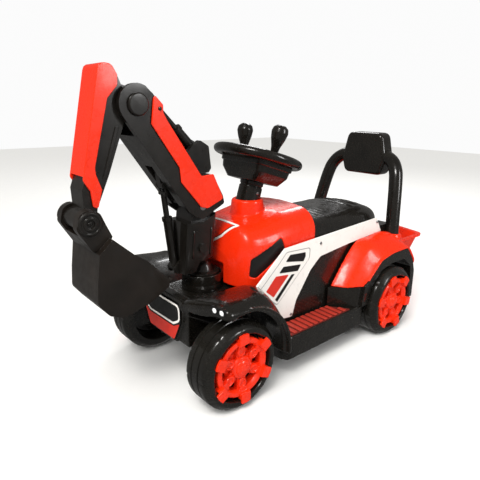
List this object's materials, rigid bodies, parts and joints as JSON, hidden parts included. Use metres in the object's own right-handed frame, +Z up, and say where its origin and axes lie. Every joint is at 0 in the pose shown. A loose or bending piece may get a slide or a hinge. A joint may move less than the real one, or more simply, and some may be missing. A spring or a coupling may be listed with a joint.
{
  "type": "ride-on digger",
  "caption": "Child's ride-on digger toy: steerable car body with a seat, roll bar and rear bin, and a slewing arm with boom, stick and bucket in front.",
  "frame": {"origin": "on the ground, under the middle of the digger's overall length and width", "axes": "+Z up; the digger faces -Y with its bucket; +X is the driver's left; lengths in metres"},
  "size_m": [0.435, 1.0709, 0.663],
  "materials": {
    "black_plastic": "glossy moulded black",
    "red_plastic": "glossy moulded orange-red",
    "white_plastic": "satin off-white",
    "lamp_plastic": "pale lamp lens",
    "tyre_plastic": "satin blow-moulded black",
    "grey_plastic": "matt grey",
    "steel": "plain zinc-plated"
  },
  "bodies": {
    "chassis": {"front_shell": "black_plastic", "floor_pan": "black_plastic", "lower_body": "black_plastic", "footboard_left": "black_plastic", "footboard_right": "black_plastic", "step_grip_left": "red_plastic", "step_grip_right": "red_plastic", "hood": "red_plastic", "hood_vent_left": "black_plastic", "hood_vent_right": "black_plastic", "side_panel_left": "white_plastic", "side_panel_right": "white_plastic", "seat": "black_plastic", "rear_body": "red_plastic", "arch_trim_left": "black_plastic", "arch_trim_right": "black_plastic", "storage_bin": "red_plastic", "roll_bar": "black_plastic", "headrest": "black_plastic", "number_plate": "white_plastic", "headlight_left": "lamp_plastic", "headlight_right": "lamp_plastic", "turret_base": "black_plastic", "front_beam": "grey_plastic", "rear_axle": "steel", "battery_pack": "grey_plastic", "drive_gearbox": "grey_plastic"},
    "steering": {"steering_wheel": "black_plastic", "steering_hub": "black_plastic", "steering_column": "black_plastic", "steering_shaft": "steel"},
    "lever_left_body": {"lever_left": "black_plastic"},
    "lever_right_body": {"lever_right": "black_plastic"},
    "knuckle_left_body": {"knuckle_left": "steel"},
    "knuckle_right_body": {"knuckle_right": "steel"},
    "tie_rod_body": {"tie_rod": "steel"},
    "wheel_front_left": {"tyre_front_left": "tyre_plastic", "wheel_cover_front_left": "red_plastic"},
    "wheel_front_right": {"tyre_front_right": "tyre_plastic", "wheel_cover_front_right": "red_plastic"},
    "wheel_rear_left": {"tyre_rear_left": "tyre_plastic", "wheel_cover_rear_left": "red_plastic"},
    "wheel_rear_right": {"tyre_rear_right": "tyre_plastic", "wheel_cover_rear_right": "red_plastic"},
    "turret": {"slew_column": "black_plastic"},
    "boom_arm": {"boom": "black_plastic", "boom_panel_left": "red_plastic", "boom_panel_right": "red_plastic", "boom_pin": "steel", "elbow_pin": "black_plastic", "boom_bracket": "black_plastic"},
    "stick_arm": {"stick": "black_plastic", "stick_cover": "red_plastic"},
    "bucket_body": {"bucket": "black_plastic", "bucket_pin": "black_plastic"},
    "boom_barrel": {"boom_cylinder_barrel": "black_plastic"},
    "boom_rod": {"boom_cylinder_rod": "black_plastic"},
    "stick_barrel": {"stick_cylinder_barrel": "black_plastic"},
    "stick_rod": {"stick_cylinder_rod": "black_plastic"}
  },
  "joints": [
    {"name": "steer", "type": "hinge", "parent": "chassis", "child": "steering", "pos_m": [0, -0.075, 0.482], "axis": [0, 0.2915, 0.9566], "range_deg": [-25, 25]},
    {"name": "lever_left_rock", "type": "hinge", "parent": "steering", "child": "lever_left_body", "pos_m": [0.046, -0.08141, 0.46096], "axis": [1, 0, 0], "range_deg": [-12, 12], "stiffness_Nm_per_rad": 0.3},
    {"name": "lever_right_rock", "type": "hinge", "parent": "steering", "child": "lever_right_body", "pos_m": [-0.046, -0.08141, 0.46096], "axis": [1, 0, 0], "range_deg": [-12, 12], "stiffness_Nm_per_rad": 0.3},
    {"name": "kingpin_left", "type": "hinge", "parent": "chassis", "child": "knuckle_left_body", "pos_m": [0.112, -0.284, 0.095], "axis": [0, 0, 1], "range_deg": [-18, 18]},
    {"name": "kingpin_right", "type": "hinge", "parent": "chassis", "child": "knuckle_right_body", "pos_m": [-0.112, -0.284, 0.095], "axis": [0, 0, 1], "range_deg": [-18, 18]},
    {"name": "tie_rod_slide", "type": "slide", "parent": "chassis", "child": "tie_rod_body", "axis": [1, 0, 0], "range_m": [-0.0153, 0.0153]},
    {"name": "roll_front_left", "type": "hinge", "parent": "knuckle_left_body", "child": "wheel_front_left", "pos_m": [0.161, -0.284, 0.095], "axis": [1, 0, 0], "continuous": true},
    {"name": "roll_front_right", "type": "hinge", "parent": "knuckle_right_body", "child": "wheel_front_right", "pos_m": [-0.161, -0.284, 0.095], "axis": [1, 0, 0], "continuous": true},
    {"name": "roll_rear_left", "type": "hinge", "parent": "chassis", "child": "wheel_rear_left", "pos_m": [0.175, 0.244, 0.095], "axis": [1, 0, 0], "continuous": true},
    {"name": "roll_rear_right", "type": "hinge", "parent": "chassis", "child": "wheel_rear_right", "pos_m": [-0.175, 0.244, 0.095], "axis": [1, 0, 0], "continuous": true},
    {"name": "slew", "type": "hinge", "parent": "chassis", "child": "turret", "pos_m": [0, -0.241, 0.236], "axis": [0, 0, 1], "range_deg": [-30, 30]},
    {"name": "boom_lift", "type": "hinge", "parent": "turret", "child": "boom_arm", "pos_m": [0, -0.264, 0.394], "axis": [1, 0, 0], "range_deg": [-16, 6]},
    {"name": "stick_swing", "type": "hinge", "parent": "boom_arm", "child": "stick_arm", "pos_m": [0, -0.405, 0.597], "axis": [-1, 0, 0], "range_deg": [0, 45]},
    {"name": "bucket_curl", "type": "hinge", "parent": "stick_arm", "child": "bucket_body", "pos_m": [0, -0.512, 0.397], "axis": [-1, 0, 0], "range_deg": [0, 100]},
    {"name": "boom_barrel_tilt", "type": "hinge", "parent": "turret", "child": "boom_barrel", "pos_m": [0, -0.315, 0.262], "axis": [1, 0, 0], "range_deg": [-5.3, 2]},
    {"name": "boom_rod_slide", "type": "slide", "parent": "boom_barrel", "child": "boom_rod", "axis": [0, -0.1267, 0.9919], "range_m": [-0.007, 0.018]},
    {"name": "stick_barrel_tilt", "type": "hinge", "parent": "boom_arm", "child": "stick_barrel", "pos_m": [0, -0.26, 0.508], "axis": [1, 0, 0], "range_deg": [0, 11.3]},
    {"name": "stick_rod_slide", "type": "slide", "parent": "stick_barrel", "child": "stick_rod", "axis": [0, -0.7071, 0.7071], "range_m": [-0.0205, 0]}
  ],
  "couplings": [
    {"joint": "kingpin_left", "follows": "steer", "ratio": 0.72},
    {"joint": "kingpin_right", "follows": "steer", "ratio": 0.72},
    {"joint": "tie_rod_slide", "follows": "steer", "m_per_rad": -0.0348},
    {"joint": "boom_barrel_tilt", "follows": "boom_lift", "ratio": 0.325},
    {"joint": "boom_rod_slide", "follows": "boom_lift", "m_per_rad": -0.0635},
    {"joint": "stick_barrel_tilt", "follows": "stick_swing", "ratio": 0.249},
    {"joint": "stick_rod_slide", "follows": "stick_swing", "m_per_rad": -0.0257}
  ]
}
